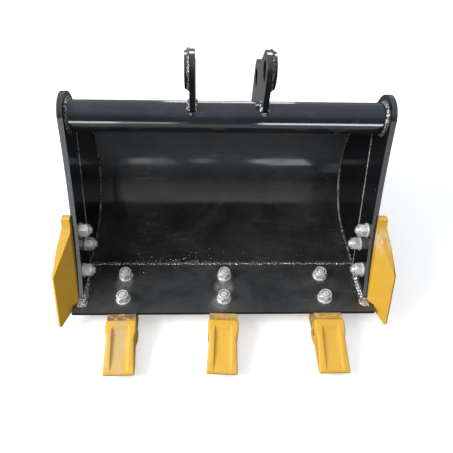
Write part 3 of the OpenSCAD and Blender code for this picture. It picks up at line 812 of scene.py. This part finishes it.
for i in range(60):
    spot = Vector((random.gauss(-95, 50), 133 + abs(random.gauss(0, 11)), FLOOR_V))
    drop(spot, UP, random.uniform(0.6, 1.7))
for i in range(90):
    x = random.uniform(-285, 285)
    if random.random() < 0.5:
        drop(Vector((x, random.gauss(116, 9), 0)), UP, random.uniform(0.4, 1.0))
    else:
        drop(Vector((x, random.uniform(138, 175), FLOOR_V)), UP, random.uniform(0.4, 0.9))
for side in (-1, 1):
    for i in range(24):
        x = side * (BAR_IN - abs(random.gauss(9, 5)) - 2)
        drop(Vector((x, random.uniform(28, 120), 0)), UP, random.uniform(0.4, 1.0))
    for i in range(10):
        spot = on_plate(side * BAR_IN, random.uniform(30, 300), random.uniform(20, 74))
        drop(spot, -side * ACROSS, random.uniform(0.4, 0.8))
drops.made("weld_spatter", WELD_BARE, "black_enamel", sharp=60)


# ------------------------------------------------------------------ stage, light and camera

STAGE_R = 9.0
floor_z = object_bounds()[0].z
ground = Shape()
ground.verts = [(x * STAGE_R, y * STAGE_R, floor_z) for x, y in ((-1, -1), (1, -1), (1, 1), (-1, 1))]
ground.faces = [(0, 1, 2, 3)]
floor = ground.shown("floor")
material, tree, shader, place = node_material("pale_floor")
tree.links.new(mix(tree, noise_at(tree, place, 3.0), (0.88, 0.88, 0.88), (0.90, 0.90, 0.90)),
               shader.inputs["Base Color"])
shader.inputs["Roughness"].default_value = 0.9
shader.inputs["Specular IOR Level"].default_value = 0.1
shader.inputs["Emission Color"].default_value = (1, 1, 1, 1)
shader.inputs["Emission Strength"].default_value = 0.42
floor.data.materials.append(material)
floor.visible_diffuse = floor.visible_glossy = False

# The backdrop is a dome that only the camera sees.
backdrop = Shape()
heights = (-0.5, 2.0, 4.0, 6.0, 7.5, 8.4, 8.9)
profile = [(math.sqrt(STAGE_R ** 2 - max(0.0, z) ** 2), z) for z in heights]
backdrop.turned(profile, Matrix(), round_trip=False)
dome = backdrop.shown("backdrop")
dome.visible_diffuse = dome.visible_glossy = dome.visible_transmission = dome.visible_shadow = False
material, _, shader, _ = node_material("pale_backdrop")
shader.inputs["Base Color"].default_value = (0, 0, 0, 1)
shader.inputs["Emission Color"].default_value = (1, 1, 1, 1)
shader.inputs["Emission Strength"].default_value = 1.0
dome.data.materials.append(material)


def area_light(name, spot, target, width, height, radiance, tint=(1, 1, 1), only=None):
    """A panel of light facing its target. only lists the pieces that it lights, if not all."""
    data = bpy.data.lights.new(name, "AREA")
    data.shape = "RECTANGLE"
    data.size, data.size_y = width, height
    data.energy = radiance * math.pi * width * height
    data.color = tint
    light = bpy.data.objects.new(name, data)
    light.location = spot
    light.visible_camera = False
    light.rotation_euler = (Vector(target) - Vector(spot)).to_track_quat("-Z", "Y").to_euler()
    bpy.context.scene.collection.objects.link(light)
    if only:
        lit = bpy.data.collections.new(name + "_lights")
        for piece in only:
            lit.objects.link(piece)
        light.light_linking.receiver_collection = lit
    return light


def pick(*names):
    return [nodes[name] for name in names]


wrapper, tube = pick("wrapper"), pick("torque_tube")
edges = pick("side_plate_left", "side_plate_right", "side_bar_left", "side_bar_right")
ear_pieces = pick("ear_left", "ear_right", "arm_boss_left", "arm_boss_right")
COOL, PALE = (0.9, 0.96, 1), (0.94, 0.98, 1)
area_light("key", (-2.3, -0.6, 1.30), (0, -0.15, -0.3), 1.3, 1.3, 12.0, (1, 0.99, 0.97))
sheen_fill = area_light("sheen_fill", (0, -1.6, 0.15), (0, 0, -0.2), 1.6, 0.6, 2.3, only=wrapper)
sheen_fill.visible_glossy = False
# Lights for the front edges, and windows for the wrapper and the tube to mirror.
area_light("edge_left", (-2.0, -4.0, 0.7), (0, 0, -0.1), 2.2, 1.4, 3.3, (0.86, 0.93, 1), edges)
area_light("edge_right", (2.0, -4.0, 0.7), (0, 0, -0.1), 2.2, 1.4, 1.9, (0.93, 0.97, 1), edges)
area_light("line_left", (-0.62, -4.0, 0.19), (0, 0, -0.1), 0.36, 0.05, 9.0, only=wrapper)
area_light("line_right", (1.1, -4.0, 0.19), (0, 0, -0.1), 0.75, 0.05, 15.0, only=wrapper)
area_light("pane_left", (-0.39, -1.8, -0.27), (-0.2, 0, -0.27), 0.20, 0.26, 3.4, COOL, wrapper)
area_light("pane_middle", (-0.03, -1.8, -0.27), (0, 0, -0.27), 0.12, 0.26, 2.0, COOL, wrapper)
area_light("pane_right", (0.57, -1.8, -0.27), (0.2, 0, -0.27), 0.54, 0.26, 4.2, (0.86, 0.94, 1), wrapper)
area_light("tube_left", (-0.50, -1.0, -0.19), (-0.2, 0, -0.08), 0.24, 0.22, 13.0, PALE, tube)
area_light("tube_centre", (-0.26, -1.0, -0.19), (-0.1, 0, -0.08), 0.24, 0.22, 5.0, PALE, tube)
area_light("tube_right", (0.45, -1.0, -0.19), (0.15, 0, -0.08), 0.54, 0.22, 16.0, PALE, tube)
area_light("tube_low", (0, -0.8, -0.46), (0, 0, -0.08), 1.6, 0.44, 1.0, (0.85, 0.93, 1), tube)
# Lights from behind, for the ears' tops and the tube's upper rim.
area_light("ear_tops", (0.1, 2.4, 1.9), (0, 0, 0), 1.4, 1.0, 14.0, (0.95, 0.98, 1), ear_pieces)
area_light("rim", (0.2, 3.0, 0.35), (0.02, 0, -0.08), 1.1, 1.0, 6.0, only=tube)

# The sky's brightness: dim in front, brighter overhead, behind and to the left.
world = bpy.data.worlds.new("studio")
world.use_nodes = True
sky = world.node_tree
toward_sky = put(sky, "ShaderNodeSeparateXYZ", {0: put(sky, "ShaderNodeTexCoord").outputs["Generated"]})
over = calc(sky, "MULTIPLY", remap(sky, toward_sky.outputs[2], 0.50, 0.97), 0.80)
behind = remap(sky, toward_sky.outputs[1], 0.20, 0.80)
behind = calc(sky, "MULTIPLY", behind, remap(sky, toward_sky.outputs[2], -0.05, 0.15, 0.10, 0.70))
left = calc(sky, "MULTIPLY", remap(sky, toward_sky.outputs[0], -0.30, -0.90), 0.30)
glow = calc(sky, "ADD", calc(sky, "ADD", over, behind), calc(sky, "ADD", left, 0.17))
tone = mix(sky, behind, (0.97, 0.98, 1.0), (0.76, 0.87, 1.0))
sky.links.new(tone, sky.nodes["Background"].inputs[0])
sky.links.new(glow, sky.nodes["Background"].inputs[1])
bpy.context.scene.world = world
bpy.context.scene.view_settings.view_transform = "Standard"

camera = bpy.data.objects.new("camera", bpy.data.cameras.new("camera"))
camera.location = (-0.0521, -0.6647, 0.4554)
camera.rotation_euler = [math.radians(v) for v in (34.03, -1.78, -1.22)]
camera.data.lens = 34.6
camera.data.shift_x = 0.023
camera.data.shift_y = 0.035
camera.data.clip_start = 0.01
bpy.context.scene.collection.objects.link(camera)
bpy.context.scene.camera = camera

bpy.context.view_layer.update()
